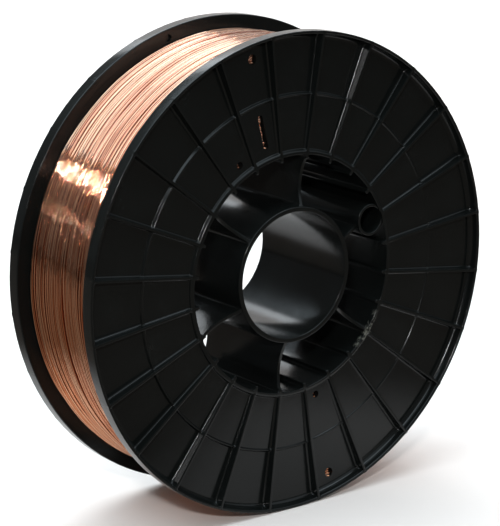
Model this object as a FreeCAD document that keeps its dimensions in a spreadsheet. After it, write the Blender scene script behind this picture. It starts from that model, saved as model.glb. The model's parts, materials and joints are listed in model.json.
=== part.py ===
"""Spool of welding wire: a moulded 200 mm spool with a wound coil of copper-coated wire.

Frame: origin at the middle of the spindle bore, +Y along the bore, +Z up.
The spool stands on its two rims. Its near flange, towards -Y, has the holes for
the wire's ends. All sizes are in millimetres and degrees.
"""
import FreeCAD, Part
import os
import re
import Sketcher

V = FreeCAD.Vector

SIZES = {
    # Spool, overall
    "flange_d": 200.0,
    "hub_span": 55.0,
    # Flange: a lipped rim that stands above the hub, a thin web with one step, and radial ribs
    "rim_rise": 2.15,
    "rim_wall": 1.4,
    "rim_edge": 0.4,
    "rim_band": 5.9,
    "web_sink": 4.1,
    "step_d": 149.2,
    "step_rise": 0.6,
    "rib_count": 24,
    "rib_thick": 1.3,
    # Barrel that carries the wire, with the ribs running on inside it
    "barrel_d": 103.2,
    "barrel_wall": 2.0,
    "barrel_edge": 0.4,
    "rib_inset": 2.0,
    # Spindle tube and the spokes that hold it in the barrel
    "bore_d": 52.6,
    "tube_wall": 2.1,
    "tube_rise": 0.7,
    "spoke_count": 6,
    "spoke_thick": 1.6,
    "spoke_dip": 2.8,
    "spoke_angle": 22.2,
    # Drive hole, on the first spoke
    "drive_inset": 5.1,
    "drive_d": 11.0,
    "drive_wall": 1.25,
    "drive_sink": 0.8,
    # Holes for the wire's ends; insets are from the rim, rises from the barrel,
    # and angles count from the drive hole
    "tie_inset": 7.6,
    "tie_d": 4.0,
    "tie_angle": 80.1,
    "low_tie_angle": 260.8,
    "far_tie_inset": 3.7,
    "far_tie_d": 3.2,
    "far_tie_angle": 83.0,
    "far_tie_depth": 1.2,
    "start_rise": 3.7,
    "start_d": 3.0,
    "start_angle": 96.2,
    "low_start_angle": 261.3,
    "slot_rise": 3.4,
    "slot_long": 14.6,
    "slot_wide": 2.4,
    "slot_bulge": 0.8,
    "slot_angle": 81.5,
    # Coil of wire
    "coil_inset": 5.5,
    "coil_gap": 0.2,
}

doc = FreeCAD.newDocument("wire_spool")
sheet = doc.addObject("Spreadsheet::Sheet", "sizes")
for row, (alias, value) in enumerate(SIZES.items(), start=1):
    sheet.set(f"A{row}", alias)
    sheet.set(f"B{row}", str(value))
    sheet.setAlias(f"B{row}", alias)
doc.recompute()


def bound(text):
    """Return an expression with each size in it read from the sheet."""
    return re.sub(r"[a-z_]+", lambda m: f"sizes.{m.group()}" if m.group() in SIZES else m.group(), text)


def worth(text):
    """Return an expression's present value."""
    return float(sheet.evalExpression(bound(text)))


def origin_feature(body, role):
    """Return the body's own origin plane or axis with this role."""
    return next(item for item in body.Origin.OriginFeatures if item.Role == role)


def add_body(name):
    """Return a new body labelled with its node's name."""
    body = doc.addObject("PartDesign::Body", name)
    body.Label = name
    return body


def add_sketch(body, name, role):
    """Return a sketch on one of the body's origin planes."""
    sketch = body.newObject("Sketcher::SketchObject", name)
    sketch.AttachmentSupport = [(origin_feature(body, role), "")]
    sketch.MapMode = "FlatFace"
    return sketch


def bind(sketch, constraint, text):
    """Add a dimension to a sketch and drive it by an expression."""
    index = sketch.addConstraint(Sketcher.Constraint(*constraint, worth(text)))
    sketch.setExpression(f"Constraints[{index}]", bound(text))


def pin_point(sketch, geo, end, place):
    """Hold one point of a sketch at a pair of expressions."""
    bind(sketch, ("DistanceX", -1, 1, geo, end), place[0])
    bind(sketch, ("DistanceY", -1, 1, geo, end), place[1])


def add_outline(sketch, corners, dips=None):
    """Draw a closed outline; dips gives how far the side after a corner bows to its left."""
    dips = dips or {}
    spots = [V(worth(across), worth(up), 0) for across, up in corners]
    sides = []
    for i, start in enumerate(spots):
        stop = spots[(i + 1) % len(spots)]
        if i not in dips:
            sides.append((sketch.addGeometry(Part.LineSegment(start, stop), False), 1, 2))
            continue
        left = V(start.y - stop.y, stop.x - start.x, 0).normalize()
        middle = (start + stop) * 0.5 + left * worth(dips[i])
        geo = sketch.addGeometry(Part.Arc(start, middle, stop), False)
        first_end, last_end = sketch.getPoint(geo, 1), sketch.getPoint(geo, 2)
        turned = first_end.distanceToPoint(start) > last_end.distanceToPoint(start)
        sides.append((geo, 2, 1) if turned else (geo, 1, 2))
    for i, (geo, start_end, _) in enumerate(sides):
        before, _, before_end = sides[i - 1]
        sketch.addConstraint(Sketcher.Constraint("Coincident", before, before_end, geo, start_end))
        pin_point(sketch, geo, start_end, corners[i])
    for i, dip in dips.items():
        (across_a, up_a), (across_b, up_b) = corners[i], corners[(i + 1) % len(corners)]
        chord = f"((({across_a}) - ({across_b}))^2 + (({up_a}) - ({up_b}))^2)"
        bind(sketch, ("Radius", sides[i][0]), f"{chord} / (8 * {dip}) + {dip} / 2")


def add_round(sketch, offset, angle, diameter):
    """Draw a circle at a distance and an angle from the spool's axis."""
    centre = (f"({offset}) * cos({angle} * 1 deg)", f"({offset}) * sin({angle} * 1 deg)")
    spot = V(worth(centre[0]), worth(centre[1]), 0)
    geo = sketch.addGeometry(Part.Circle(spot, V(0, 0, 1), worth(diameter) / 2), False)
    pin_point(sketch, geo, 3, centre)
    bind(sketch, ("Radius", geo), f"({diameter}) / 2")


def revolve(body, name, sketch):
    """Turn a half-section once round the spool's axis."""
    feature = body.newObject("PartDesign::Revolution", name)
    feature.Profile = sketch
    feature.ReferenceAxis = (origin_feature(body, "Y_Axis"), [""])
    feature.Angle = 360.0
    body.Tip = feature
    doc.recompute()


def pad_both_ways(body, name, sketch, thickness):
    """Pad a sketch by half a thickness to each side of its plane."""
    feature = body.newObject("PartDesign::Pad", name)
    feature.Profile = sketch
    feature.Midplane = True
    feature.setExpression("Length", bound(thickness))
    body.Tip = feature
    doc.recompute()
    return feature


def repeat_round(body, name, feature, count):
    """Repeat a feature evenly round the spool's axis."""
    pattern = body.newObject("PartDesign::PolarPattern", name)
    pattern.Originals = [feature]
    pattern.Axis = (origin_feature(body, "Y_Axis"), [""])
    pattern.Angle = 360.0
    pattern.setExpression("Occurrences", bound(count))
    body.Tip = pattern
    doc.recompute()


def cut_flange(body, name, sketch, side, reach=None):
    """Pocket a sketch of the middle plane into the near flange, the far one or both.

    The pocket goes right through, or as far from the middle plane as reach says.
    """
    before = body.Shape.Volume
    feature = body.newObject("PartDesign::Pocket", name)
    feature.Profile = sketch
    feature.Type = "ThroughAll"
    if reach:
        feature.Type = "Length"
        feature.setExpression("Length", bound(reach))
    feature.Midplane = side == "both"
    feature.Reversed = side == "near"
    body.Tip = feature
    doc.recompute()
    if body.Shape.Volume > before - 1.0:
        raise RuntimeError(f"{name} cuts nothing")


def mirrored(near_side):
    """Close a half-outline, given for the near side, with its mirror image."""
    return [(across, f"-({up})") for across, up in near_side] + list(reversed(near_side))


# Radii and heights that several features share
RIM_RADIUS = "flange_d / 2"
RIM_INSIDE = "flange_d / 2 - rim_wall"
RIM_MIDDLE = "flange_d / 2 - rim_wall / 2"
BARREL_RADIUS = "barrel_d / 2"
BARREL_INSIDE = "barrel_d / 2 - barrel_wall"
BARREL_MIDDLE = "barrel_d / 2 - barrel_wall / 2"
TUBE_MIDDLE = "bore_d / 2 + tube_wall / 2"
HUB_FACE = "hub_span / 2"
TUBE_FACE = "hub_span / 2 + tube_rise"
RIM_FACE = "hub_span / 2 + rim_rise"
OUTER_WEB_FACE = "hub_span / 2 + rim_rise - web_sink"
INNER_WEB_FACE = "hub_span / 2 + rim_rise - web_sink + step_rise"
WEB_BACK = "hub_span / 2 + rim_rise - rim_band"
WEB_MIDDLE = "hub_span / 2 + rim_rise - (web_sink + rim_band) / 2"
DRIVE_OFFSET = "barrel_d / 2 - barrel_wall - drive_inset"
TIE_OFFSET = "flange_d / 2 - tie_inset"
START_OFFSET = "barrel_d / 2 + start_rise"


def make_tube_and_spokes(body):
    """Build the spindle tube and the scalloped spokes round it."""
    section = add_sketch(body, "tube_section", "XY_Plane")
    near_end = [("bore_d / 2", TUBE_FACE), ("bore_d / 2 + tube_wall", TUBE_FACE)]
    add_outline(section, mirrored(near_end))
    revolve(body, "spindle_tube", section)

    outline = add_sketch(body, "spoke_outline", "XY_Plane")
    near_edge = [(TUBE_MIDDLE, HUB_FACE), (BARREL_MIDDLE, HUB_FACE)]
    add_outline(outline, mirrored(near_edge), dips={0: "spoke_dip", 2: "spoke_dip"})
    spoke = pad_both_ways(body, "spoke", outline, "spoke_thick")
    repeat_round(body, "spokes", spoke, "spoke_count")


def make_barrel_and_flanges(body):
    """Build the barrel with both flanges, then the ribs that cross them."""
    section = add_sketch(body, "flange_section", "XY_Plane")
    near_half = [
        (BARREL_INSIDE, HUB_FACE),
        ("barrel_d / 2 - barrel_edge", HUB_FACE),
        (BARREL_RADIUS, INNER_WEB_FACE),
        ("step_d / 2", INNER_WEB_FACE),
        ("step_d / 2", OUTER_WEB_FACE),
        (RIM_INSIDE, OUTER_WEB_FACE),
        (RIM_INSIDE, RIM_FACE),
        ("flange_d / 2 - rim_edge", RIM_FACE),
        (RIM_RADIUS, "hub_span / 2 + rim_rise - rim_edge"),
        (RIM_RADIUS, WEB_BACK),
        (BARREL_RADIUS, WEB_BACK),
    ]
    add_outline(section, mirrored(near_half))
    revolve(body, "barrel_and_flanges", section)

    outline = add_sketch(body, "rib_outline", "XY_Plane")
    near_rib = [
        ("barrel_d / 2 - barrel_wall - rib_inset", HUB_FACE),
        (BARREL_RADIUS, HUB_FACE),
        (RIM_MIDDLE, RIM_FACE),
        (RIM_MIDDLE, WEB_MIDDLE),
        (BARREL_MIDDLE, WEB_MIDDLE),
    ]
    add_outline(outline, mirrored(near_rib))
    rib = pad_both_ways(body, "rib", outline, "rib_thick")
    repeat_round(body, "ribs", rib, "rib_count")


def make_drive_hole(body):
    """Build the drive hole's tube on the first spoke, and bore it."""
    tube = add_sketch(body, "drive_tube_outline", "XZ_Plane")
    add_round(tube, DRIVE_OFFSET, "0", "drive_d + 2 * drive_wall")
    pad_both_ways(body, "drive_tube", tube, "hub_span - 2 * drive_sink")

    hole = add_sketch(body, "drive_hole_outline", "XZ_Plane")
    add_round(hole, DRIVE_OFFSET, "0", "drive_d")
    cut_flange(body, "drive_hole", hole, "both")


def make_wire_end_holes(body):
    """Cut the near flange's round holes and slot for the wire's ends, and the far one's recess."""
    near = add_sketch(body, "near_hole_outlines", "XZ_Plane")
    add_round(near, TIE_OFFSET, "tie_angle", "tie_d")
    add_round(near, TIE_OFFSET, "low_tie_angle", "tie_d")
    add_round(near, START_OFFSET, "start_angle", "start_d")
    add_round(near, START_OFFSET, "low_start_angle", "start_d")
    cut_flange(body, "near_holes", near, "near")

    far = add_sketch(body, "far_recess_outline", "XZ_Plane")
    add_round(far, "flange_d / 2 - far_tie_inset", "far_tie_angle", "far_tie_d")
    cut_flange(body, "far_recess", far, "far", f"{WEB_BACK} + far_tie_depth")

    slot = add_sketch(body, "slot_outline", "XZ_Plane")
    cosine, sine = "cos(slot_angle * 1 deg)", "sin(slot_angle * 1 deg)"
    low_end, high_end = "(barrel_d / 2 + slot_rise)", "(barrel_d / 2 + slot_rise + slot_long)"
    corners = []
    for reach, side in ((low_end, "+"), (high_end, "+"), (high_end, "-"), (low_end, "-")):
        across_side = "-" if side == "+" else "+"
        across = f"{reach} * {cosine} {across_side} slot_wide / 2 * {sine}"
        corners.append((across, f"{reach} * {sine} {side} slot_wide / 2 * {cosine}"))
    add_outline(slot, corners, dips={1: "slot_bulge", 3: "slot_bulge"})
    cut_flange(body, "slot", slot, "near")


def make_spool():
    """Build the moulded spool, one piece of plastic, turned to its real angle."""
    body = add_body("spool")
    make_tube_and_spokes(body)
    make_barrel_and_flanges(body)
    make_drive_hole(body)
    make_wire_end_holes(body)
    body.Placement.Rotation = FreeCAD.Rotation(V(0, -1, 0), 1.0)
    body.setExpression("Placement.Rotation.Angle", bound("spoke_angle * 1 deg"))
    doc.recompute()
    return body


def make_wire_coil():
    """Build the wound wire as one turned ring that fills the winding space."""
    body = add_body("wire_coil")
    section = add_sketch(body, "coil_section", "XY_Plane")
    coil_end = "hub_span / 2 + rim_rise - rim_band - coil_gap"
    near_end = [("barrel_d / 2 + coil_gap", coil_end), ("flange_d / 2 - coil_inset", coil_end)]
    add_outline(section, mirrored(near_end))
    revolve(body, "coil", section)
    return body


def write_steps(bodies):
    """Test every object and shape, then write one STEP file for each body."""
    for item in doc.Objects:
        if "Invalid" in item.State or "Error" in item.State:
            raise RuntimeError(f"{item.Name} failed: {item.State}")
    for body in bodies:
        shape = body.Shape
        if shape.isNull() or not shape.isValid() or len(shape.Solids) != 1:
            raise RuntimeError(f"{body.Label} is not one valid solid")
    os.makedirs("parts", exist_ok=True)
    for body in bodies:
        body.Shape.exportStep(f"parts/{body.Label}.step")
        print(f"{body.Label}: {body.Shape.Volume / 1000:.2f} cm3")


write_steps([make_spool(), make_wire_coil()])
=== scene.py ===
"""Looks of a moulded spool wound with copper-coated welding wire, built round its CAD frame.

The spool stands on its two rims. +Y runs along the spindle bore, +Z is up, and the flange
with the wire-end holes faces -Y. Sizes of the spool and its wire are millimetres, as on a
maker's drawing; meshes are made in metres, and the studio's sizes are metres.
"""

import json
import logging
import math
import random
from dataclasses import dataclass, field
from enum import Enum
from typing import Sequence, Union

import bmesh
import bpy
import numpy as np
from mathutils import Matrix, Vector

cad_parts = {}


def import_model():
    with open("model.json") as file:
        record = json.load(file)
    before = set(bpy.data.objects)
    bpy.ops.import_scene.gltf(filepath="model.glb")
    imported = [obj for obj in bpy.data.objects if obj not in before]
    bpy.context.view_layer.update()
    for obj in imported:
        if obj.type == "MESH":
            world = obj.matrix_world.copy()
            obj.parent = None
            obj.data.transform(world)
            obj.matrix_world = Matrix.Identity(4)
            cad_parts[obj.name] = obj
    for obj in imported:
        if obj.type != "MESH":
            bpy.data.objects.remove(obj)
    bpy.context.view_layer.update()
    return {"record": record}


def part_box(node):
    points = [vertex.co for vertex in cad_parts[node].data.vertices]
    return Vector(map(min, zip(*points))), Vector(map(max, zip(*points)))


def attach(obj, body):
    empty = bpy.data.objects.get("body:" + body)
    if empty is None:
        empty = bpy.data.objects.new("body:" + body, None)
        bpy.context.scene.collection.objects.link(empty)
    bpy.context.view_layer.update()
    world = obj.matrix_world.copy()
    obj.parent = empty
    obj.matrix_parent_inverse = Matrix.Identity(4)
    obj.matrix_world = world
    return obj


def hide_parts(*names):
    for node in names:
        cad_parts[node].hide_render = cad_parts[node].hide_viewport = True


logging.basicConfig(level=logging.INFO, format="%(name)s: %(message)s")
LOG = logging.getLogger("spool")

MM = 0.001
BODY = "root"
STRAND = "strand"

FULL_TURN = 2 * math.pi
# Below this rise, in millimetres, a rib has no side of its own.
FLAT = 1e-6
# Where the turns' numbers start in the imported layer, at its ends and in the openings.
LAYER_TURN = 100.5
END_TURN = 200.5
BULGE_TURN = 300.5

Point = tuple[float, float]
Triple = tuple[float, float, float]
Number = Union[int, float]


class Slot(Enum):
    """Material slots of the record, by name; no piece here takes its finish from them."""

    PLASTIC = "black_plastic"
    WIRE = "coppered_wire"


class Joining(Enum):
    """Ways to combine one closed mesh with another."""

    ADD = "UNION"
    CUT = "DIFFERENCE"


# --------------------------------------------------------------------------- shader graph


class Term:
    """A shader socket that adds Math nodes when it is used in an expression."""

    def __init__(self, graph: "Graph", socket: bpy.types.NodeSocket) -> None:
        """Wrap one output socket of a graph."""
        self.graph = graph
        self.socket = socket

    def _math(self, operation: str, *values: Union["Term", Number]) -> "Term":
        """Add one Math node.

        Args:
            operation: The node's operation.
            values: Its inputs in order, terms or numbers.

        Returns:
            The node's output.
        """
        return self.graph.node("ShaderNodeMath", {"operation": operation}, dict(enumerate(values)))

    def __add__(self, other: Union["Term", Number]) -> "Term":
        """Add."""
        return self._math("ADD", self, other)

    __radd__ = __add__

    def __sub__(self, other: Union["Term", Number]) -> "Term":
        """Subtract."""
        return self._math("SUBTRACT", self, other)

    def __rsub__(self, other: Number) -> "Term":
        """Subtract from a number."""
        return self._math("SUBTRACT", other, self)

    def __mul__(self, other: Union["Term", Number]) -> "Term":
        """Multiply."""
        return self._math("MULTIPLY", self, other)

    __rmul__ = __mul__

    def __truediv__(self, other: Union["Term", Number]) -> "Term":
        """Divide."""
        return self._math("DIVIDE", self, other)

    def __rtruediv__(self, other: Number) -> "Term":
        """Divide a number by this."""
        return self._math("DIVIDE", other, self)

    def root(self) -> "Term":
        """Square root."""
        return self._math("SQRT", self)

    def ramp(self, low: float, high: float) -> "Term":
        """Smooth step.

        Args:
            low: Value at which the result is 0.
            high: Value at which the result is 1; it may be the smaller one.

        Returns:
            A term from 0 to 1.
        """
        if low > high:
            return 1 - self.ramp(high, low)
        settings = {"interpolation_type": "SMOOTHSTEP"}
        return self.graph.node("ShaderNodeMapRange", settings, {"Value": self, 1: low, 2: high})


class Graph:
    """The node tree of one material, with one method that adds any node."""

    def __init__(self, name: str) -> None:
        """Make an empty material of this name."""
        self.material = bpy.data.materials.new(name)
        self.material.use_nodes = True
        self.tree = self.material.node_tree
        self.tree.nodes.clear()

    def node(self, kind: str, settings: dict, sockets: dict, output: Union[int, str] = 0) -> Term:
        """Add a node.

        Args:
            kind: The node's type.
            settings: Its properties, which are set before its sockets.
            sockets: Values or terms by socket name or number.
            output: The output that is returned.

        Returns:
            One output of the node.
        """
        node = self.tree.nodes.new(kind)
        for key, value in settings.items():
            setattr(node, key, value)
        for key, value in sockets.items():
            if isinstance(value, Term):
                self.tree.links.new(value.socket, node.inputs[key])
            else:
                node.inputs[key].default_value = value
        return Term(self, node.outputs[output])

    def place(self) -> tuple[Term, Term, Term]:
        """Return the point's X, Y and Z in the spool's frame, in metres."""
        point = self.node("ShaderNodeTexCoord", {}, {}, "Object")
        parts = self.node("ShaderNodeSeparateXYZ", {}, {0: point}).socket.node
        return tuple(Term(self, out) for out in parts.outputs)

    def noise(self, vector: Term, scale: float, detail: float, rough: float) -> Term:
        """Add a noise texture.

        Args:
            vector: Where it is read.
            scale: Its scale.
            detail: Its octaves.
            rough: How strong the finer octaves are.

        Returns:
            Its value, from 0 to 1.
        """
        sockets = {"Vector": vector, "Scale": scale, "Detail": detail, "Roughness": rough}
        return self.node("ShaderNodeTexNoise", {}, sockets)

    def vector(self, across: Term, along: Term, up: Term) -> Term:
        """Join three values into a vector."""
        return self.node("ShaderNodeCombineXYZ", {}, {0: across, 1: along, 2: up})

    def mix(self, amount: Term, low: Union[Term, Triple], high: Triple) -> Term:
        """Mix two colours.

        Args:
            amount: 0 for the first colour, 1 for the second.
            low: The first colour, a term or red, green and blue.
            high: The second colour.

        Returns:
            The mixed colour.
        """
        first = low if isinstance(low, Term) else rgba(*low)
        settings = {"data_type": "RGBA"}
        return self.node("ShaderNodeMix", settings, {0: amount, 6: first, 7: rgba(*high)}, 2)

    def bump(self, height: Term, strength: float, depth: float) -> Term:
        """Return a normal bent by a height, whose full range stands for a depth in metres."""
        return self.node("ShaderNodeBump", {}, {"Strength": strength, "Distance": depth, "Height": height})

    def finish(self, sockets: dict) -> bpy.types.Material:
        """Add the surface shader with these sockets, and return the finished material."""
        shader = self.node("ShaderNodeBsdfPrincipled", {}, sockets)
        output = self.tree.nodes.new("ShaderNodeOutputMaterial")
        self.tree.links.new(shader.socket, output.inputs["Surface"])
        return self.material


def rgba(red: float, green: float, blue: float) -> tuple[float, float, float, float]:
    """Return a linear colour with full alpha."""
    return (red, green, blue, 1.0)


# --------------------------------------------------------------------------- finishes


@dataclass(frozen=True)
class MouldedPlastic:
    """Half-gloss black polystyrene, with faint flow marks and dry residue on the hub ring.

    Noise scales are counts to the metre; radii and the residue's Y are millimetres.
    """

    colour: Triple = (0.0040, 0.0048, 0.0046)
    bloom: Triple = (0.0080, 0.0096, 0.0094)
    residue: Triple = (0.13, 0.13, 0.11)
    roughness: float = 0.17
    specular: float = 0.24
    flow_scale: float = 55.0
    dust_scale: float = 900.0
    peel_scale: float = 260.0
    crust_scale: float = 420.0
    grain_strength: float = 0.22
    grain_depth: float = 0.00012
    residue_angle: float = -38.0
    residue_spread: float = 12.0
    residue_inside: float = 45.0
    residue_outside: float = 52.6
    residue_behind: float = -24.5
    residue_front: float = -26.2

    def residue_mask(self, graph: Graph, spot: Term) -> Term:
        """Return where the residue lies.

        Args:
            graph: The material's graph.
            spot: The point on the spool.

        Returns:
            A term, 1 on the residue's flakes and 0 elsewhere.
        """
        across, along, up = graph.place()
        radius = (across * across + up * up).root()
        turn = math.radians(self.residue_angle)
        off = (across * math.sin(turn) - up * math.cos(turn)) / radius
        spread = math.sin(math.radians(self.residue_spread))
        near_face = along.ramp(self.residue_behind * MM, self.residue_front * MM)
        band = radius.ramp(self.residue_inside * MM, (self.residue_inside + 2.0) * MM)
        band = band * radius.ramp(self.residue_outside * MM, (self.residue_outside - 0.8) * MM)
        fade = (off * off).ramp(spread * spread, spread * spread * 0.2)
        facing = (across * math.cos(turn) + up * math.sin(turn)).ramp(0.0, 0.02)
        crust = graph.noise(spot, self.crust_scale, 4.0, 0.7).ramp(0.47, 0.66)
        return near_face * band * fade * facing * crust

    def material(self) -> bpy.types.Material:
        """Build the finish."""
        graph = Graph("moulded_plastic")
        spot = graph.node("ShaderNodeTexCoord", {}, {}, "Object")
        flow = graph.noise(spot, self.flow_scale, 4.0, 0.6)
        dust = graph.noise(spot, self.dust_scale, 3.0, 0.7)
        peel = graph.noise(spot, self.peel_scale, 2.0, 0.5)
        mask = self.residue_mask(graph, spot)
        plain = graph.mix(flow.ramp(0.45, 0.75) * dust.ramp(0.4, 0.7), self.colour, self.bloom)
        height = peel + 0.35 * dust + 0.8 * mask
        return graph.finish({
            "Base Color": graph.mix(mask, plain, self.residue),
            "Roughness": self.roughness + 0.10 * (flow - 0.5) + 0.08 * (dust - 0.5) + 0.35 * mask,
            "Normal": graph.bump(height, self.grain_strength, self.grain_depth),
            "Specular IOR Level": self.specular,
        })


@dataclass(frozen=True)
class CopperedWire:
    """Bright drawn copper coating on steel, each turn a little different in tone.

    Noise scales are counts to the metre. The oil film lies on the upper turns and thins out
    between the two heights, in metres.
    """

    bright: Triple = (0.67, 0.37, 0.23)
    deep: Triple = (0.45, 0.125, 0.040)
    roughness: float = 0.11
    oil: float = 1.0
    oil_roughness: float = 0.07
    oil_index: float = 1.9
    oil_from: float = -0.02
    oil_full: float = 0.06
    streak_scale: float = 9.0
    patch_scale: float = 60.0
    sway_scale: float = 230.0
    sway_depth: float = 0.00017

    def material(self) -> bpy.types.Material:
        """Build the finish."""
        graph = Graph("coppered_wire")
        across, _, up = graph.place()
        turn = graph.node("ShaderNodeAttribute", {"attribute_name": STRAND}, {}, "Fac")

        def wander(scale: float, change: float, detail: float, rough: float) -> Term:
            """Return a noise that runs along each turn and changes from turn to turn."""
            return graph.noise(graph.vector(across * scale, up * scale, turn * change), 1.0, detail, rough)

        streak = wander(self.streak_scale, 3.7, 2.0, 0.5)
        patch = wander(self.patch_scale, 1.9, 3.0, 0.6)
        sway = wander(self.sway_scale, 2.3, 0.0, 0.4)
        tone = (0.85 * streak + 0.15 * patch).ramp(0.30, 0.68)
        return graph.finish({
            "Base Color": graph.mix(tone, self.deep, self.bright),
            "Roughness": self.roughness + 0.05 * (patch - 0.5) + 0.04 * (streak - 0.5),
            "Metallic": 1.0,
            "Normal": graph.bump(sway, 1.0, self.sway_depth),
            "Coat Weight": self.oil * up.ramp(self.oil_from, self.oil_full),
            "Coat Roughness": self.oil_roughness,
            "Coat IOR": self.oil_index,
        })


# --------------------------------------------------------------------------- mesh helpers


def rounded(corners: Sequence[Triple], steps: int = 3) -> list[Point]:
    """Round the corners of an open path.

    Args:
        corners: Each corner's two coordinates and its radius, 0 for a point that stays.
        steps: How many pieces each round has.

    Returns:
        The path's points.
    """
    path: list[Point] = []
    for index, (a, b, radius) in enumerate(corners):
        here = Vector((a, b))
        if radius == 0 or index in (0, len(corners) - 1):
            path.append((a, b))
            continue
        back = Vector(corners[index - 1][:2]) - here
        ahead = Vector(corners[index + 1][:2]) - here
        half = back.angle(ahead) / 2
        reach = radius / math.tan(half)
        start, stop = here + back.normalized() * reach, here + ahead.normalized() * reach
        centre = here + (back.normalized() + ahead.normalized()).normalized() * (radius / math.sin(half))
        from_angle = math.atan2(start.y - centre.y, start.x - centre.x)
        sweep = math.atan2(stop.y - centre.y, stop.x - centre.x) - from_angle
        sweep = (sweep + math.pi) % FULL_TURN - math.pi
        for step in range(steps + 1):
            angle = from_angle + sweep * step / steps
            path.append((centre.x + radius * math.cos(angle), centre.y + radius * math.sin(angle)))
    return path


def sheet_faces(rows: int, columns: int, close_rows: bool, start: int = 0) -> list[tuple[int, ...]]:
    """Return the quads of a grid whose columns go round and close.

    Args:
        rows: Number of rows.
        columns: Number of columns.
        close_rows: Whether the last row joins the first.
        start: Number of the grid's first vertex.

    Returns:
        The quads.
    """
    quads = []
    for row in range(rows if close_rows else rows - 1):
        here, after = start + row * columns, start + (row + 1) % rows * columns
        for column in range(columns):
            following = (column + 1) % columns
            quads.append((here + column, after + column, after + following, here + following))
    return quads


@dataclass
class MeshParts:
    """Vertices and faces gathered from several shapes before they become one mesh."""

    points: list = field(default_factory=list)
    faces: list = field(default_factory=list)
    strands: list = field(default_factory=list)

    def number_strands(self, numbers: np.ndarray, columns: int) -> None:
        """Give each row of the last grid the number of its turn of wire."""
        self.strands.extend(np.repeat(numbers, columns))

    def add_grid(self, grid: np.ndarray, close_rows: bool = False, caps: bool = False) -> None:
        """Add a grid of points, in millimetres, whose columns close round.

        Args:
            grid: Array of rows, columns and three coordinates.
            close_rows: Whether the last row joins the first.
            caps: Whether the first and last rows are closed by a face.
        """
        rows, columns = grid.shape[:2]
        start = len(self.points)
        self.points.extend(map(tuple, grid.reshape(-1, 3) * MM))
        self.faces.extend(sheet_faces(rows, columns, close_rows, start))
        if caps:
            self.faces.append(tuple(start + column for column in range(columns)))
            last = start + (rows - 1) * columns
            self.faces.append(tuple(last + column for column in reversed(range(columns))))

    def to_object(self, name: str) -> bpy.types.Object:
        """Make a smooth-shaded object with its faces turned outwards."""
        mesh = bpy.data.meshes.new(name)
        mesh.from_pydata(self.points, [], self.faces)
        mesh.validate()
        piece = bpy.data.objects.new(name, mesh)
        bpy.context.scene.collection.objects.link(piece)
        turn_outwards(mesh)
        mesh.shade_smooth()
        if self.strands:
            layer = mesh.attributes.new(STRAND, "FLOAT", "POINT")
            layer.data.foreach_set("value", np.array(self.strands, dtype=np.float32))
        return piece


def turn_outwards(mesh: bpy.types.Mesh) -> None:
    """Turn each closed shell's faces so that their normals point out."""
    shells = bmesh.new()
    shells.from_mesh(mesh)
    bmesh.ops.recalc_face_normals(shells, faces=shells.faces)
    shells.to_mesh(mesh)
    shells.free()


def turned(path: Sequence[Point], count: int, centre: Point = (0.0, 0.0)) -> np.ndarray:
    """Turn a path of (radius, Y) points round an axis along Y.

    Args:
        path: The section's points.
        count: Points round the axis.
        centre: X and Z of the axis.

    Returns:
        A grid of points, one row for each point of the path.
    """
    angles = np.linspace(0.0, FULL_TURN, count, endpoint=False)
    section = np.array(path)
    grid = np.empty((len(path), count, 3))
    grid[:, :, 0] = centre[0] + section[:, :1] * np.cos(angles)
    grid[:, :, 1] = section[:, 1:]
    grid[:, :, 2] = centre[1] + section[:, :1] * np.sin(angles)
    return grid


def bake_modifiers(piece: bpy.types.Object) -> None:
    """Apply every modifier of a piece to its mesh."""
    graph = bpy.context.evaluated_depsgraph_get()
    mesh = bpy.data.meshes.new_from_object(piece.evaluated_get(graph))
    piece.modifiers.clear()
    piece.data = mesh


def combine(piece: bpy.types.Object, other: bpy.types.Object, joining: Joining) -> None:
    """Join another closed mesh to a piece or cut it away, and remove the other.

    Args:
        piece: The piece that is changed.
        other: The mesh that is added or taken away.
        joining: Which of the two.
    """
    modifier = piece.modifiers.new(joining.name.lower(), "BOOLEAN")
    modifier.operation = joining.value
    modifier.solver = "MANIFOLD"
    modifier.object = other
    bake_modifiers(piece)
    bpy.data.objects.remove(other, do_unlink=True)


def settle(
    piece: bpy.types.Object, material: bpy.types.Material, nodes: Sequence[str] = ()
) -> None:
    """Dress a piece, put it on the spool's body and report it.

    Args:
        piece: The piece.
        material: Its finish.
        nodes: CAD nodes that the piece stands for.
    """
    piece.data.materials.clear()
    piece.data.materials.append(material)
    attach(piece, BODY)
    if nodes:
        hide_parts(*nodes)
    LOG.info("%s: %d faces", piece.name, len(piece.data.polygons))


# --------------------------------------------------------------------------- the moulded spool


@dataclass(frozen=True)
class Hole:
    """A round hole of a flange: its distance and angle from the axis, and its radius."""

    distance: float
    angle: float
    radius: float


@dataclass(frozen=True)
class Opening:
    """An opening that shows wire: its reach from the axis, angle, half width and depth."""

    inside: float
    outside: float
    angle: float
    half: float
    depth: float


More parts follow.
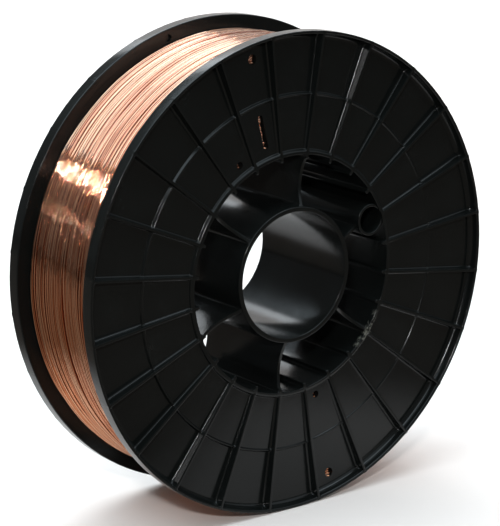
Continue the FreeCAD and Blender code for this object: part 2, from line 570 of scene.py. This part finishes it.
@dataclass
class MouldedSpool:
    """The spool: spindle tube, spokes, barrel, ribbed flanges and drive tube, moulded in one.

    A sink is a depth behind the rim's face, and angles are degrees from +X towards +Z.
    The step's foot lies outside step_radius, and its bead between two radii inside it.
    """

    rim_radius: float
    rim_face: float
    bore_radius: float
    drive_spot: Point
    drive_radius: float
    finish: MouldedPlastic
    rim_wall: float = 1.4
    rim_band: float = 5.9
    rim_taper: float = 0.1
    rim_edge_round: float = 0.35
    rim_lip_round: float = 0.75
    rim_back_round: float = 0.45
    web_sink: float = 4.1
    web_round: float = 2.2
    step_radius: float = 74.6
    step_rise: float = 0.6
    step_foot: float = 0.35
    step_round: float = 0.25
    step_bead: float = 0.42
    bead_outside: float = 0.30
    bead_inside: float = 0.85
    bead_foot: float = 1.15
    bead_rounds: tuple[float, float] = (0.38, 0.45)
    ring_sink: float = 2.15
    ring_foot: float = 0.15
    ring_edge: float = 0.45
    ring_rounds: Triple = (0.5, 0.9, 0.35)
    barrel_foot_round: float = 0.8
    barrel_radius: float = 51.6
    barrel_wall: float = 2.0
    rib_count: int = 24
    rib_thick: float = 1.2
    rib_draft: float = 0.02
    rib_inset: float = 2.0
    rib_inset_run: float = 0.9
    root_round: float = 0.85
    root_steps: int = 4
    edge_round: float = 0.22
    bays: int = 5
    tube_wall: float = 2.1
    tube_rise: float = 0.7
    tube_round: float = 0.45
    spoke_count: int = 6
    spoke_thick: float = 1.6
    spoke_dip: float = 2.8
    spoke_sink: float = 0.6
    spoke_round: float = 0.35
    spoke_stations: int = 13
    drive_wall: float = 1.25
    drive_sink: float = 0.8
    drive_round: float = 0.3
    round_points: int = 192
    hole_points: int = 28
    slot_steps: int = 8
    cut_margin: float = 2.0
    crease_angle: float = 40.0
    tie_holes: tuple[Hole, ...] = (
        Hole(92.4, 102.3, 2.0),
        Hole(92.4, -77.0, 2.0),
        Hole(55.3, 118.4, 1.5),
        Hole(55.3, -76.5, 1.5),
    )
    far_hole: Hole = Hole(96.3, 105.2, 1.6)
    far_hole_depth: float = 1.2
    slot_ends: Point = (55.0, 69.6)
    slot_angle: float = 103.7
    slot_half: float = 1.2

    @property
    def first_angle(self) -> float:
        """Angle of the drive hole, on which the ribs and spokes are laid out, in radians."""
        return math.atan2(self.drive_spot[1], self.drive_spot[0])

    @property
    def hub_face(self) -> float:
        """Half the hub's width."""
        return self.rim_face - self.ring_sink

    @property
    def rim_inside(self) -> float:
        """Inner radius of the rim."""
        return self.rim_radius - self.rim_wall

    @property
    def barrel_inside(self) -> float:
        """Inner radius of the barrel."""
        return self.barrel_radius - self.barrel_wall

    @property
    def tube_outside(self) -> float:
        """Outer radius of the spindle tube."""
        return self.bore_radius + self.tube_wall

    def outer_section(self) -> list[Point]:
        """Return one flange's section without ribs, as (radius, depth), from rim to barrel."""
        inner_sink = self.web_sink - self.step_rise
        bead_sink = inner_sink - self.step_bead
        return rounded([
            (self.rim_radius, self.rim_band / 2, 0),
            (self.rim_radius, 0.0, self.rim_edge_round),
            (self.rim_inside, 0.0, self.rim_lip_round),
            (self.rim_inside - self.rim_taper, self.web_sink, self.web_round),
            (self.step_radius + self.step_foot, self.web_sink, self.step_round),
            (self.step_radius - self.bead_outside, bead_sink, self.bead_rounds[0]),
            (self.step_radius - self.bead_inside, bead_sink, self.bead_rounds[1]),
            (self.step_radius - self.bead_foot, inner_sink, self.step_round),
            (self.barrel_radius + self.ring_foot, inner_sink, self.ring_rounds[0]),
            (self.barrel_radius - self.ring_edge, self.ring_sink, self.ring_rounds[1]),
            (self.barrel_inside, self.ring_sink, self.ring_rounds[2]),
            (self.barrel_inside, self.rim_face, 0),
        ])

    def winding_section(self) -> list[Point]:
        """Return the wall round the wire, as (radius, Y), from the far rim to the near one."""
        back = self.rim_face - self.rim_band
        middle = self.rim_face - self.rim_band / 2
        return rounded([
            (self.rim_radius, middle, 0),
            (self.rim_radius, back, self.rim_back_round),
            (self.barrel_radius, back, self.barrel_foot_round),
            (self.barrel_radius, -back, self.barrel_foot_round),
            (self.rim_radius, -back, self.rim_back_round),
            (self.rim_radius, -middle, 0),
        ])[1:-1]

    def crest_depth(self, radius: float, depth: float) -> float:
        """Return the depth of the rib's crest over a point of the section."""
        ring_outside = self.barrel_radius - self.ring_edge
        fall = (self.rim_inside - radius) / (self.rim_inside - ring_outside)
        if radius > ring_outside:
            return min(depth, self.ring_sink * max(fall, 0.0))
        return depth

    def shell_rows(self) -> tuple[np.ndarray, np.ndarray, np.ndarray]:
        """Return the shell's rows: plain points, crest points and how far ribs stand in the barrel."""
        base, crest, inset = [], [], []
        for radius, depth in self.outer_section():
            base.append((radius, depth - self.rim_face))
            crest.append((radius, self.crest_depth(radius, depth) - self.rim_face))
            share = (self.barrel_inside + self.rib_inset_run - radius) / self.rib_inset_run
            inset.append(self.rib_inset * min(max(share, 0.0), 1.0))
        far = slice(-2, None, -1)
        base += [(radius, -along) for radius, along in base[far]]
        crest += [(radius, -along) for radius, along in crest[far]]
        inset += inset[far]
        winding = self.winding_section()
        base += winding
        crest += winding
        inset += [0.0] * len(winding)
        return np.array(base), np.array(crest), np.array(inset)

    def rib_columns(self) -> list[tuple[float, bool, float]]:
        """Return half a rib's section: offset from its middle, whether it is crest, and height."""
        half, edge, root = self.rib_thick / 2, self.edge_round, self.root_round
        bevel = 0.3 * edge
        columns = [(0.0, True, 0.0), (half - edge, True, 0.0)]
        columns += [(half - bevel, True, bevel), (half, True, edge)]
        for step in range(self.root_steps + 1):
            turn = math.pi / 2 * step / self.root_steps
            offset = half + self.rib_draft + root * (1 - math.cos(turn))
            columns.append((offset, False, root * (1 - math.sin(turn))))
        return columns

    def ribbed_shell(self) -> np.ndarray:
        """Return the closed grid of barrel, flanges and ribs."""
        base, crest, inset = self.shell_rows()
        rise = np.hypot(crest[:, 0] - inset - base[:, 0], crest[:, 1] - base[:, 1])
        half_rib = self.rib_columns()
        needed = self.edge_round + self.root_round
        squeeze = np.minimum(1.0, rise / needed)
        safe_rise = np.maximum(rise, FLAT)
        sector = FULL_TURN / self.rib_count
        both_sides = [(-s, top, height) for s, top, height in reversed(half_rib[1:])] + half_rib
        columns = []
        for rib in range(self.rib_count):
            own_inset = inset * (0.0 if rib == 0 else 1.0)
            middle = self.first_angle + rib * sector
            for offset, top, height in both_sides:
                share = squeeze * height / safe_rise
                weight = np.where(rise > FLAT, 1.0 - share if top else share, 0.0)
                radius = base[:, 0] + weight * (crest[:, 0] - own_inset - base[:, 0])
                along = base[:, 1] + weight * (crest[:, 1] - base[:, 1])
                angle = middle + offset / radius
                columns.append((radius * np.cos(angle), along, radius * np.sin(angle)))
            root_angle = half_rib[-1][0] / base[:, 0]
            for bay in range(1, self.bays):
                angle = middle + root_angle + (sector - 2 * root_angle) * bay / self.bays
                columns.append((base[:, 0] * np.cos(angle), base[:, 1], base[:, 0] * np.sin(angle)))
        return np.array(columns).transpose(2, 0, 1)

    def tube_section(self, inside: float, outside: float, end: float, edge: float) -> list[Point]:
        """Return a tube's section as (radius, Y), from the middle of its inner wall.

        Args:
            inside: Its inner radius.
            outside: Its outer radius.
            end: Half its length.
            edge: The round of its edges.

        Returns:
            The section's points, with the start given once, as the last of them.
        """
        loop = [(inside, 0.0, 0), (inside, -end, edge), (outside, -end, edge)]
        loop += [(outside, end, edge), (inside, end, edge), (inside, 0.0, 0)]
        return rounded(loop)[1:]

    def spindle_tube(self) -> np.ndarray:
        """Return the closed grid of the spindle tube."""
        end = self.hub_face + self.tube_rise
        section = self.tube_section(self.bore_radius, self.tube_outside, end, self.tube_round)
        return turned(section, self.round_points)

    def drive_tube(self) -> np.ndarray:
        """Return the closed grid of the drive hole's tube."""
        outside, end = self.drive_radius + self.drive_wall, self.hub_face - self.drive_sink
        section = self.tube_section(self.drive_radius, outside, end, self.drive_round)
        return turned(section, self.round_points // 3, self.drive_spot)

    def spoke(self, number: int) -> np.ndarray:
        """Return the grid of one spoke, with scalloped edges and wide roots.

        Args:
            number: 0 for the spoke that carries the drive tube.

        Returns:
            Rows from the spindle tube outwards, with columns round the spoke's section.
        """
        inner, outer = self.tube_outside, self.barrel_inside
        span = outer - inner
        if number == 0:
            outer = math.hypot(*self.drive_spot) - self.drive_radius - self.drive_wall
        root = np.array([-self.spoke_sink, 0.0, 0.15, 0.4, 0.9, 1.6])
        clear = 2.5
        middle = np.linspace(inner + clear, outer - clear, self.spoke_stations)
        angle = self.first_angle + number * FULL_TURN / self.spoke_count
        out = np.array([math.cos(angle), 0.0, math.sin(angle)])
        side = np.array([-math.sin(angle), 0.0, math.cos(angle)])
        along_axis = np.array([0.0, 1.0, 0.0])
        edge, bevel = self.spoke_round, 0.1
        rows = []
        for radius in np.concatenate([inner + root, middle, outer - root[::-1]]):
            to_wall = max(min(radius - inner, outer - radius), 0.0)
            left = max(self.root_round - to_wall, 0.0)
            half = self.spoke_thick / 2 + self.root_round - math.sqrt(max(self.root_round**2 - left**2, 0.0))
            share = min(max((radius - inner) / span, 0.0), 1.0)
            end = self.hub_face - self.spoke_dip * 4 * share * (1 - share)
            ring = [(half, 0.0), (half, end - edge), (half - bevel, end - bevel), (half - edge, end)]
            ring += [(-across, along) for across, along in reversed(ring[1:])]
            loop = ring + [(-across, -along) for across, along in ring]
            rows.append([out * radius + side * across + along_axis * along for across, along in loop])
        return np.array(rows)

    def drill(self, hole: Hole, low: float, high: float) -> np.ndarray:
        """Return a round cutter along Y for a hole, between two heights along Y."""
        turn = math.radians(hole.angle)
        centre = (hole.distance * math.cos(turn), hole.distance * math.sin(turn))
        return turned([(hole.radius, low), (hole.radius, high)], self.hole_points, centre)

    def slot_cutter(self, low: float, high: float) -> np.ndarray:
        """Return the slot's cutter, a flat bar with round ends, between two heights along Y."""
        turn = math.radians(self.slot_angle)
        out, side = (math.cos(turn), math.sin(turn)), (-math.sin(turn), math.cos(turn))
        inside, outside = self.slot_ends
        outline = []
        for end, start in ((outside - self.slot_half, -90), (inside + self.slot_half, 90)):
            for step in range(self.slot_steps + 1):
                angle = math.radians(start + 180 * step / self.slot_steps)
                reach, off = end + self.slot_half * math.cos(angle), self.slot_half * math.sin(angle)
                outline.append((reach * out[0] + off * side[0], reach * out[1] + off * side[1]))
        return np.array([[(x, y, z) for x, z in outline] for y in (low, high)])

    def openings(self) -> list[Opening]:
        """Return the near flange's openings through which the wire shows."""
        wall = self.rim_band - self.web_sink
        found = []
        for hole in self.tie_holes:
            inside, outside = hole.distance - hole.radius, hole.distance + hole.radius
            found.append(Opening(inside, outside, hole.angle, hole.radius, wall))
        found.append(Opening(*self.slot_ends, self.slot_angle, self.slot_half, wall + self.step_rise))
        return found

    def cutters(self) -> MeshParts:
        """Return everything that is cut out of the spool: wire-end holes, slot and drive hole."""
        back = -self.rim_face + self.rim_band + self.cut_margin
        front = -self.rim_face - self.cut_margin
        bottom = self.rim_face - self.rim_band + self.far_hole_depth
        end = self.hub_face + self.cut_margin
        drive = [(self.drive_radius, -end), (self.drive_radius, end)]
        grids = [self.drill(hole, front, back) for hole in self.tie_holes]
        grids.append(self.drill(self.far_hole, -back, bottom))
        grids.append(self.slot_cutter(front, back))
        grids.append(turned(drive, self.round_points // 3, self.drive_spot))
        cutters = MeshParts()
        for grid in grids:
            cutters.add_grid(grid, caps=True)
        return cutters

    def build(self) -> bpy.types.Object:
        """Build the spool as one closed mesh."""
        shell = MeshParts()
        shell.add_grid(self.ribbed_shell(), close_rows=True)
        spool = shell.to_object("spool_moulding")
        for grid in (self.spindle_tube(), self.drive_tube()):
            tube = MeshParts()
            tube.add_grid(grid, close_rows=True)
            combine(spool, tube.to_object("tube"), Joining.ADD)
        for number in range(self.spoke_count):
            spoke = MeshParts()
            spoke.add_grid(self.spoke(number), caps=True)
            combine(spool, spoke.to_object("spoke"), Joining.ADD)
        combine(spool, self.cutters().to_object("cutters"), Joining.CUT)
        spool.data.shade_smooth()
        spool.data.set_sharp_from_angle(angle=math.radians(self.crease_angle))
        weighted = spool.modifiers.new("even_normals", "WEIGHTED_NORMAL")
        weighted.keep_sharp = True
        weighted.weight = 90
        return spool

    def dress(self, spool: bpy.types.Object) -> None:
        """Give the spool its finish and put it in the CAD node's place."""
        settle(spool, self.finish.material(), ["spool"])


# --------------------------------------------------------------------------- the wound wire


@dataclass
class WoundWire:
    """The winding: packed turns below, and one uneven top layer that is a single long strand."""

    barrel_radius: float
    coil_radius: float
    half_width: float
    openings: list[Opening]
    finish: CopperedWire
    wire: float = 0.9
    packed_turns: int = 52
    top_turns: int = 42
    ring_points: int = 150
    steps_per_turn: int = 260
    sides: int = 6
    packed_sink: float = 1.30
    packed_tilts: tuple = (158, 114, 66, 22)
    end_tilts: tuple = (30, 90, 150)
    top_sink: float = 0.12
    least_gap: float = 0.04
    gap_power: float = 1.4
    gap_waves: tuple = (1, 2, 3, 5)
    ripple_waves: tuple = (3, 7, 13, 19, 29, 43)
    waviness: float = 0.009
    end_dip: float = 1.6
    seed: int = 7

    def packed_section(self) -> tuple[list[Point], list[float]]:
        """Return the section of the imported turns.

        Returns:
            Its points, as (radius, Y), and the number of the turn that each belongs to.
        """
        outer = self.coil_radius - self.packed_sink * self.wire
        half = self.half_width / self.packed_turns
        path, turns = [], []
        for turn in range(self.packed_turns):
            middle = (2 * turn + 1) * half - self.half_width
            for angle in self.packed_tilts:
                tilt = math.radians(angle)
                path.append((outer + half * math.sin(tilt), middle + half * math.cos(tilt)))
                turns.append(LAYER_TURN + turn)
        depth = outer - self.barrel_radius
        layers = int(depth / (2 * half))
        half = depth / layers / 2
        for sign in (1, -1):
            end, numbers = [], []
            for layer in range(layers):
                middle = outer - (2 * layer + 1) * half
                for angle in self.end_tilts:
                    tilt = math.radians(angle)
                    face = self.half_width - half + half * math.sin(tilt)
                    end.append((middle + half * math.cos(tilt), sign * face))
                    numbers.append(END_TURN + layer)
            path += end[::sign]
            turns += numbers[::sign]
        return path, turns

    def tube(self, path: np.ndarray) -> np.ndarray:
        """Return the wire's surface round a path, as rings of points."""
        tangent = np.gradient(path, axis=0)
        tangent /= np.linalg.norm(tangent, axis=1)[:, None]
        outward = path * np.array([1.0, 0.0, 1.0])
        outward -= (outward * tangent).sum(axis=1)[:, None] * tangent
        outward /= np.linalg.norm(outward, axis=1)[:, None]
        aside = np.cross(tangent, outward)
        turn = (FULL_TURN * (np.arange(self.sides) + 0.5) / self.sides)[None, :, None]
        section = outward[:, None, :] * np.cos(turn) + aside[:, None, :] * np.sin(turn)
        return path[:, None, :] + section * self.wire / 2

    def bulging_turns(self, opening: Opening) -> list[np.ndarray]:
        """Return the short arcs of wire that press into an opening of the near flange."""
        chance = random.Random(int(opening.inside * 10))
        steps = np.linspace(-1.0, 1.0, 11)
        angles = math.radians(opening.angle) + steps * opening.half / opening.inside
        arcs = []
        radius = opening.inside + self.wire / 2
        while radius < opening.outside:
            lift = opening.depth * chance.uniform(0.55, 1.0)
            along = -self.half_width + self.wire / 2 - lift * (1 - steps * steps)
            reach = radius + self.wire * chance.uniform(-0.15, 0.15) + self.wire * 0.3 * steps
            arcs.append(self.tube(np.stack([reach * np.cos(angles), along, reach * np.sin(angles)], axis=1)))
            radius += self.wire * chance.uniform(1.1, 1.45)
        return arcs

    def packed(self) -> bpy.types.Object:
        """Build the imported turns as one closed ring, with the arcs that show in the openings."""
        section, turns = self.packed_section()
        parts = MeshParts()
        parts.add_grid(turned(section, self.ring_points), close_rows=True)
        parts.number_strands(np.array(turns), self.ring_points)
        for opening in self.openings:
            for number, arc in enumerate(self.bulging_turns(opening)):
                parts.add_grid(arc, caps=True)
                parts.number_strands(np.full(len(arc), BULGE_TURN + number), self.sides)
        return parts.to_object("wire_packed_turns")

    def places(self, angles: np.ndarray) -> np.ndarray:
        """Return where each top turn lies along Y at each angle; the gaps vary round the coil."""
        chance = random.Random(self.seed)
        gaps = []
        for _ in range(self.top_turns):
            size = chance.expovariate(1.0) ** self.gap_power + self.least_gap
            wave = np.zeros_like(angles)
            for order in self.gap_waves:
                wave += np.sin(order * angles + chance.uniform(0, FULL_TURN)) / order
            gaps.append(size * (0.55 + 0.45 * np.tanh(1.3 * wave)))
        gaps = np.array(gaps)
        room = 2 * self.half_width - (self.top_turns + 1) * self.wire
        gaps *= room / gaps.sum(axis=0)
        starts = np.concatenate([np.zeros((1, len(angles))), np.cumsum(gaps, axis=0)])
        order = np.arange(self.top_turns + 1)[:, None]
        return -self.half_width + self.wire / 2 + order * self.wire + starts

    def top_path(self) -> np.ndarray:
        """Return the centre line of the top layer's strand, in millimetres."""
        chance = random.Random(self.seed + 1)
        angles = np.linspace(0.0, FULL_TURN, self.steps_per_turn, endpoint=False)
        places = self.places(angles)
        share = angles / FULL_TURN
        radius = self.coil_radius - self.wire / 2 - self.top_sink
        path = []
        for turn in range(self.top_turns):
            along = (1 - share) * places[turn] + share * places[turn + 1]
            ripple = np.zeros_like(angles)
            for order in self.ripple_waves:
                ripple += chance.uniform(-1, 1) * np.sin(order * angles + chance.uniform(0, 6.28)) / order
            lift = chance.uniform(-0.15, 0.10)
            reach = radius + lift + self.waviness * self.coil_radius * ripple
            path.append(np.stack([reach * np.cos(angles), along, reach * np.sin(angles)], axis=1))
        return np.concatenate(path)

    def top(self) -> bpy.types.Object:
        """Build the top layer as one closed tube whose ends dip under its neighbours."""
        path = self.top_path()
        dip = self.steps_per_turn // 18
        inward = path * np.array([1.0, 0.0, 1.0]) / self.coil_radius
        sink = np.zeros(len(path))
        sink[:dip] = np.linspace(self.end_dip, 0.0, dip)
        sink[-dip:] = np.linspace(0.0, self.end_dip, dip)
        path = path - inward * sink[:, None]
        parts = MeshParts()
        parts.add_grid(self.tube(path), caps=True)
        parts.number_strands(np.arange(len(path)) / self.steps_per_turn, self.sides)
        return parts.to_object("wire_top_layer")

    def build(self) -> list[bpy.types.Object]:
        """Build both layers."""
        return [self.packed(), self.top()]

    def dress(self, layers: Sequence[bpy.types.Object]) -> None:
        """Give the layers their finish and put them in the CAD node's place."""
        material = self.finish.material()
        packed, top = layers
        settle(packed, material, ["wire_coil"])
        settle(top, material)


# --------------------------------------------------------------------------- studio


@dataclass(frozen=True)
class Lamp:
    """A rectangular studio lamp."""

    name: str
    spot: Triple
    size: tuple[float, float]
    power: float
    aim: Triple = (0.0, 0.0, 0.0)
    tint: Triple = (1.0, 1.0, 1.0)

    def place(self) -> None:
        """Add the lamp to the scene."""
        data = bpy.data.lights.new(self.name, "AREA")
        data.shape = "RECTANGLE"
        data.size, data.size_y = self.size
        data.energy = self.power
        data.color = self.tint
        lamp = bpy.data.objects.new(self.name, data)
        lamp.location = self.spot
        facing = (Vector(self.aim) - Vector(self.spot)).to_track_quat("-Z", "Y")
        lamp.rotation_euler = facing.to_euler()
        bpy.context.scene.collection.objects.link(lamp)


@dataclass
class Studio:
    """Floor, backdrop wall, plain world, lamps and camera, in metres and degrees.

    The floor is pale in a wedge that opens away from the camera, and painted dark outside it: painted shade
    that stands in for unlit floor, so that the spool reflects darkness to the sides and in front. The wedge's
    edge fades between two slopes, and its front end between two distances past the origin.
    """

    floor_height: float
    world: float = 0.15
    floor_colour: Triple = (0.83, 0.755, 0.715)
    # Painted shade: the floor's colour outside the pale wedge, standing in for unlit floor.
    painted_shade_colour: Triple = (0.125, 0.098, 0.080)
    paint_roughness: float = 0.9
    paint_specular: float = 0.1
    wedge_outside: float = 0.22
    wedge_inside: float = 0.12
    wedge_from: float = -0.10
    wedge_full: float = -0.05
    wall_distance: float = 1.9
    wall_half: float = 1.2
    wall_height: float = 1.6
    floor_half: float = 6.0
    lens: float = 161.84
    sensor: float = 36.0
    clip: tuple[float, float] = (0.05, 50.0)
    camera_spot: Triple = (-0.5738, -0.7572, 0.25067)
    camera_turn: float = 37.081
    camera_reach: float = 0.95
    camera_pitch: float = 14.826
    lamps: tuple[Lamp, ...] = (
        Lamp("overhead", (-0.35, 0.35, 1.15), (1.9, 1.9), 40.0, (-0.35, 0.35, 0.0), tint=(0.78, 0.92, 1.0)),
        Lamp("behind", (1.10, 1.50, 1.30), (1.5, 1.5), 34.0, (1.10, 1.50, 0.0), tint=(0.90, 0.96, 1.0)),
        Lamp("window", (0.60, -0.80, 0.90), (1.3, 1.3), 4.0, tint=(0.80, 0.92, 1.0)),
        Lamp("front", (-0.62, -0.72, 0.44), (0.09, 0.045), 4.8),
        Lamp("front_low", (-0.62, -0.80, 0.17), (0.15, 0.010), 0.36),
    )

    def panel(self, name: str, corners: Sequence[Triple], graph: Graph, colour: Union[Term, tuple]) -> None:
        """Add a flat painted panel to the studio.

        Args:
            name: The panel's name.
            corners: Its four corners.
            graph: The graph of its paint.
            colour: The paint's colour.
        """
        mesh = bpy.data.meshes.new(name)
        mesh.from_pydata(corners, [], [(0, 1, 2, 3)])
        sockets = {"Base Color": colour, "Roughness": self.paint_roughness}
        sockets["Specular IOR Level"] = self.paint_specular
        mesh.materials.append(graph.finish(sockets))
        panel = bpy.data.objects.new(name, mesh)
        bpy.context.scene.collection.objects.link(panel)

    def floor(self) -> None:
        """Lay the floor under the rims: pale behind the spool, with painted shade to the sides and in front.
        """
        half, low = self.floor_half, self.floor_height
        graph = Graph("floor_paint")
        across, along, _ = graph.place()
        turn = math.radians(self.camera_turn)
        side = across * math.cos(turn) - along * math.sin(turn)
        depth = across * math.sin(turn) + along * math.cos(turn)
        slope = side / (depth + self.camera_reach)
        wedge = (slope * slope).ramp(self.wedge_outside**2, self.wedge_inside**2)
        pale = wedge * depth.ramp(self.wedge_from, self.wedge_full)
        # Outside the pale wedge the floor takes the painted shade colour.
        colour = graph.mix(pale, self.painted_shade_colour, self.floor_colour)
        corners = [(-half, -half, low), (half, -half, low), (half, half, low), (-half, half, low)]
        self.panel("floor", corners, graph, colour)

    def wall(self) -> None:
        """Stand a pale wall behind the spool, farther off than the camera sees."""
        turn = math.radians(self.camera_turn)
        ahead = Vector((math.sin(turn), math.cos(turn), 0.0))
        right = Vector((math.cos(turn), -math.sin(turn), 0.0))
        foot = ahead * self.wall_distance + Vector((0.0, 0.0, self.floor_height))
        reach, top = right * self.wall_half, Vector((0.0, 0.0, self.wall_height))
        corners = [foot - reach, foot + reach, foot + reach + top, foot - reach + top]
        self.panel("wall", corners, Graph("wall_paint"), rgba(*self.floor_colour))

    def surroundings(self) -> None:
        """Set a plain grey world and the plain view transform."""
        scene = bpy.context.scene
        scene.world = bpy.data.worlds.new("studio")
        scene.world.use_nodes = True
        background = scene.world.node_tree.nodes["Background"]
        background.inputs["Color"].default_value = rgba(1.0, 1.0, 1.0)
        background.inputs["Strength"].default_value = self.world
        scene.view_settings.view_transform = "Standard"

    def camera(self) -> None:
        """Place the camera in front of the spool, to its left and a little above."""
        data = bpy.data.cameras.new("camera")
        data.lens = self.lens
        data.sensor_width = self.sensor
        data.clip_start, data.clip_end = self.clip
        camera = bpy.data.objects.new("camera", data)
        camera.location = self.camera_spot
        camera.rotation_euler = (math.radians(90.0 - self.camera_pitch), 0.0, -math.radians(self.camera_turn))
        bpy.context.scene.collection.objects.link(camera)
        bpy.context.scene.camera = camera

    def build(self) -> None:
        """Set up the whole studio."""
        self.floor()
        self.wall()
        self.surroundings()
        self.camera()
        for lamp in self.lamps:
            lamp.place()


# --------------------------------------------------------------------------- the scene


def mount(record: dict, name: str) -> dict:
    """Return a mount of the record by its name."""
    return next(item for item in record["mounts"] if item["name"] == name)


def main() -> None:
    """Build the spool, its wire and the studio."""
    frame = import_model()
    low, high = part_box("spool")
    coil_low, coil_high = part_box("wire_coil")
    record = frame["record"]
    drive = mount(record, "drive_hole")

    Studio(floor_height=low.z).build()

    spool = MouldedSpool(
        rim_radius=(high.x - low.x) / 2 / MM,
        rim_face=(high.y - low.y) / 2 / MM,
        bore_radius=mount(record, "spindle_bore")["dims"]["r_mm"],
        drive_spot=(drive["pos_m"][0] / MM, drive["pos_m"][2] / MM),
        drive_radius=drive["dims"]["r_mm"],
        finish=MouldedPlastic(),
    )
    spool.dress(spool.build())

    wire = WoundWire(
        barrel_radius=spool.barrel_radius,
        coil_radius=(coil_high.z - coil_low.z) / 2 / MM,
        half_width=(coil_high.y - coil_low.y) / 2 / MM,
        openings=spool.openings(),
        finish=CopperedWire(),
    )
    wire.dress(wire.build())


if __name__ == "__main__":
    main()
